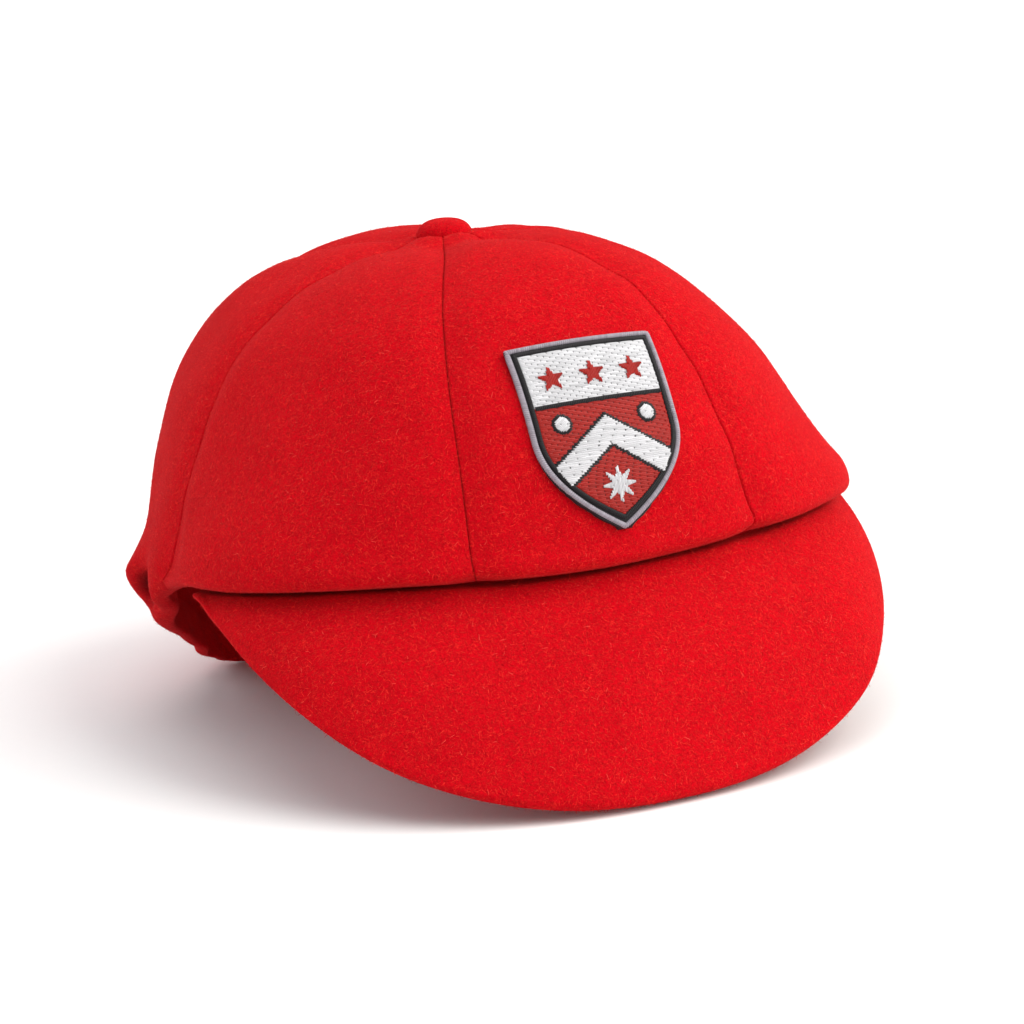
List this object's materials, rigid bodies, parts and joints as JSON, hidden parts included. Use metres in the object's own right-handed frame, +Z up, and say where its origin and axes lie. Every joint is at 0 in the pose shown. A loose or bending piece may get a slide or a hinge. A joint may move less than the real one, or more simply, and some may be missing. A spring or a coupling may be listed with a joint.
{
  "type": "school cap",
  "caption": "Child's six-panel wool felt school cap with a covered top button, a short curved peak and a shield badge on the front panel.",
  "frame": {"origin": "centre of the cap's outline on the table that it stands on", "axes": "+Z up, -Y towards the peak, +X towards the wearer's left"},
  "size_m": [0.169, 0.1972, 0.1158],
  "materials": {
    "red_felt": "brushed wool felt with a short nap",
    "badge_embroidery": "satin-stitched thread with a corded edge"
  },
  "bodies": {
    "root": {"panel_front": "red_felt", "panel_left_front": "red_felt", "panel_left_rear": "red_felt", "panel_back": "red_felt", "panel_right_rear": "red_felt", "panel_right_front": "red_felt", "peak": "red_felt", "top_button": "red_felt", "badge": "badge_embroidery"}
  },
  "joints": []
}
